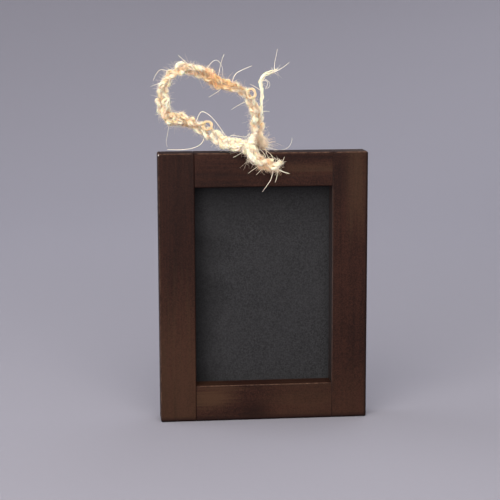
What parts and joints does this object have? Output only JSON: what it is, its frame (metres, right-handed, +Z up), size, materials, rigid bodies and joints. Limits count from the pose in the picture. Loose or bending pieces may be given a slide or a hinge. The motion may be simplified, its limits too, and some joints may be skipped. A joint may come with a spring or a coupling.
{
  "type": "slate writing board",
  "caption": "Small framed writing slate: dark stained wooden frame, matte slate panel set well back, and a stiff hanging loop of chained hemp twine.",
  "frame": {"origin": "under the middle of the board's lower edge, at mid thickness", "axes": "+Z up along the board's height, +X to the right seen from the writing side, which faces -Y"},
  "size_m": [0.135, 0.0327, 0.2307],
  "materials": {
    "stained_wood": "dark stained, satin",
    "dowel_wood": "plain, unfinished",
    "slate": "honed, matte",
    "card": "grey board",
    "steel": "rolled sheet",
    "twine": "hairy natural hemp"
  },
  "bodies": {
    "board": {"left_stile": "stained_wood", "right_stile": "stained_wood", "top_rail": "stained_wood", "bottom_rail": "stained_wood", "top_left_dowels": "dowel_wood", "top_right_dowels": "dowel_wood", "bottom_left_dowels": "dowel_wood", "bottom_right_dowels": "dowel_wood", "slate_panel": "slate", "backing_card": "card", "framers_points": "steel", "twine_tail": "twine", "twine_back_leg": "twine"},
    "loop": {"twine_loop": "twine", "yarn_end": "twine"}
  },
  "joints": [
    {"name": "loop_swing", "type": "hinge", "parent": "board", "child": "loop", "pos_m": [0, 0.0058, 0.188], "axis": [1, 0, 0], "range_deg": [-65, 65]}
  ]
}
